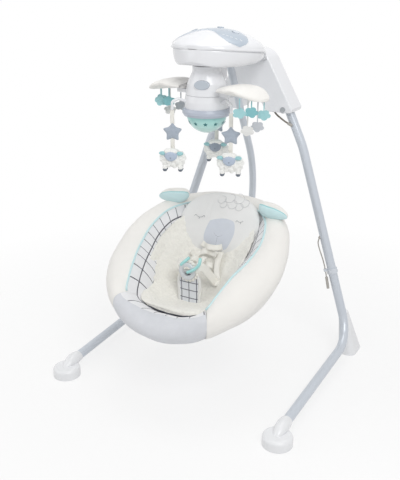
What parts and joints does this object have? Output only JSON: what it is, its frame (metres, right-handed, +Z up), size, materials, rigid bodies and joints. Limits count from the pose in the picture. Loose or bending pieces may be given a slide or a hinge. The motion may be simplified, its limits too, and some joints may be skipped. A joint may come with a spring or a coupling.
{
  "type": "baby swing",
  "caption": "Free-standing baby swing: a padded bowl seat on a curved arm hangs from a motor head with a turning mobile, on a folding tube frame.",
  "frame": {"origin": "on the floor under the middle of the object's box", "axes": "+Z up, the seat faces -Y, and right in the names is +X, as seen facing the seat"},
  "size_m": [0.72, 0.63, 0.9385],
  "materials": {
    "white_shell": "glossy moulded plastic",
    "panel_grey": "glossy grey inlay",
    "key_white": "satin keys",
    "release_grey": "satin",
    "frame_paint": "satin powder coat",
    "frame_plastic": "satin",
    "foot_plastic": "satin",
    "steel": "turned",
    "bush_nylon": "natural nylon",
    "motor_metal": "zinc plated",
    "battery_case": "sleeved cell",
    "seat_plastic": "satin",
    "cream_plush": "short plush",
    "grey_linen": "linen weave",
    "liner_foam": "lined foam",
    "fleece_pad": "curly fleece",
    "pillow_fabric": "brushed knit",
    "aqua_fabric": "velour",
    "buckle_plastic": "gloss",
    "webbing": "woven webbing",
    "trim_grey": "gloss",
    "aqua_plastic": "gloss",
    "felt": "felt",
    "plush_white": "plush",
    "plush_face": "velour",
    "star_fabric": "velour",
    "cord_rubber": "satin jacket"
  },
  "bodies": {
    "housing": {"head_top_cover": "white_shell", "head_bottom_cover": "white_shell", "control_panel": "panel_grey", "axle_bushes": "bush_nylon", "drive_motor": "motor_metal", "arch_front_shell": "white_shell", "arch_rear_shell": "white_shell", "battery_door": "white_shell", "batteries": "battery_case", "leg_pins": "steel", "mobile_bell": "white_shell", "cloud_wings": "cream_plush", "cloud_charms": "felt", "cord_upper": "cord_rubber"},
    "left_leg": {"left_upper_tube": "frame_paint", "left_elbow_tube": "frame_paint", "left_base_tube": "frame_paint", "left_collar": "frame_plastic", "left_front_foot": "foot_plastic", "left_rear_foot": "foot_plastic"},
    "right_leg": {"right_upper_tube": "frame_paint", "right_elbow_tube": "frame_paint", "right_base_tube": "frame_paint", "right_collar": "frame_plastic", "right_front_foot": "foot_plastic", "right_rear_foot": "foot_plastic", "cord_lower": "cord_rubber", "power_connector": "cord_rubber", "cord_grommets": "cord_rubber"},
    "swing": {"swing_axle": "steel", "swing_hub": "bush_nylon", "swing_arm": "frame_paint", "swivel_socket": "frame_plastic"},
    "seat": {"seat_shell": "seat_plastic", "rim_cushion": "cream_plush", "front_cushion": "grey_linen", "seat_liner": "liner_foam", "body_pad": "fleece_pad", "head_pillow": "pillow_fabric", "pillow_ears": "aqua_fabric", "crotch_pad": "fleece_pad", "buckles": "buckle_plastic", "waist_belts": "webbing"},
    "carousel": {"carousel_drum": "white_shell", "trim_ring": "trim_grey", "star_dome": "aqua_plastic"},
    "power_key": {"power_key": "key_white"},
    "speed_key": {"speed_key": "key_white"},
    "sound_key": {"sound_key": "key_white"},
    "release_button": {"mobile_release_button": "release_grey"},
    "right_lamb": {"right_lamb_body": "plush_white", "right_lamb_head": "plush_face", "right_star_hanger": "star_fabric"},
    "rear_lamb": {"rear_lamb_body": "plush_white", "rear_lamb_head": "plush_face", "rear_star_hanger": "star_fabric"},
    "left_lamb": {"left_lamb_body": "plush_white", "left_lamb_head": "plush_face", "left_star_hanger": "star_fabric"}
  },
  "joints": [
    {"name": "swing_pivot", "type": "hinge", "parent": "housing", "child": "swing", "pos_m": [0, 0.074, 0.882], "axis": [0, 1, 0], "range_deg": [-12, 12]},
    {"name": "seat_swivel", "type": "hinge", "parent": "swing", "child": "seat", "pos_m": [0, -0.09, 0.19], "axis": [0, 0, 1], "range_deg": [-90, 90]},
    {"name": "right_leg_fold", "type": "hinge", "parent": "housing", "child": "right_leg", "pos_m": [0.096, 0.277, 0.707], "axis": [0, 1, 0], "range_deg": [0, 15], "deforming": ["cord_upper"]},
    {"name": "left_leg_fold", "type": "hinge", "parent": "housing", "child": "left_leg", "pos_m": [-0.096, 0.277, 0.707], "axis": [0, -1, 0], "range_deg": [0, 15]},
    {"name": "carousel_spin", "type": "hinge", "parent": "housing", "child": "carousel", "pos_m": [0, -0.027, 0.78], "axis": [0, 0, 1], "continuous": true},
    {"name": "right_lamb_swing", "type": "hinge", "parent": "carousel", "child": "right_lamb", "pos_m": [0.08321, -0.05565, 0.744], "axis": [0.9272, 0.3746, 0], "range_deg": [-15, 15]},
    {"name": "rear_lamb_swing", "type": "hinge", "parent": "carousel", "child": "rear_lamb", "pos_m": [-0.01679, 0.05938, 0.744], "axis": [0.9272, 0.3746, 0], "range_deg": [-15, 15]},
    {"name": "left_lamb_swing", "type": "hinge", "parent": "carousel", "child": "left_lamb", "pos_m": [-0.06641, -0.08473, 0.744], "axis": [0.9272, 0.3746, 0], "range_deg": [-15, 15]},
    {"name": "power_key_press", "type": "slide", "parent": "housing", "child": "power_key", "axis": [0, 0, -1], "range_m": [0, 0.0015], "stiffness_N_per_m": 400},
    {"name": "speed_key_press", "type": "slide", "parent": "housing", "child": "speed_key", "axis": [0, 0, -1], "range_m": [0, 0.0015], "stiffness_N_per_m": 400},
    {"name": "sound_key_press", "type": "slide", "parent": "housing", "child": "sound_key", "axis": [0, 0, -1], "range_m": [0, 0.0015], "stiffness_N_per_m": 400},
    {"name": "mobile_release", "type": "slide", "parent": "housing", "child": "release_button", "axis": [-0.2419, 0.9703, 0], "range_m": [0, 0.0025], "stiffness_N_per_m": 500}
  ]
}
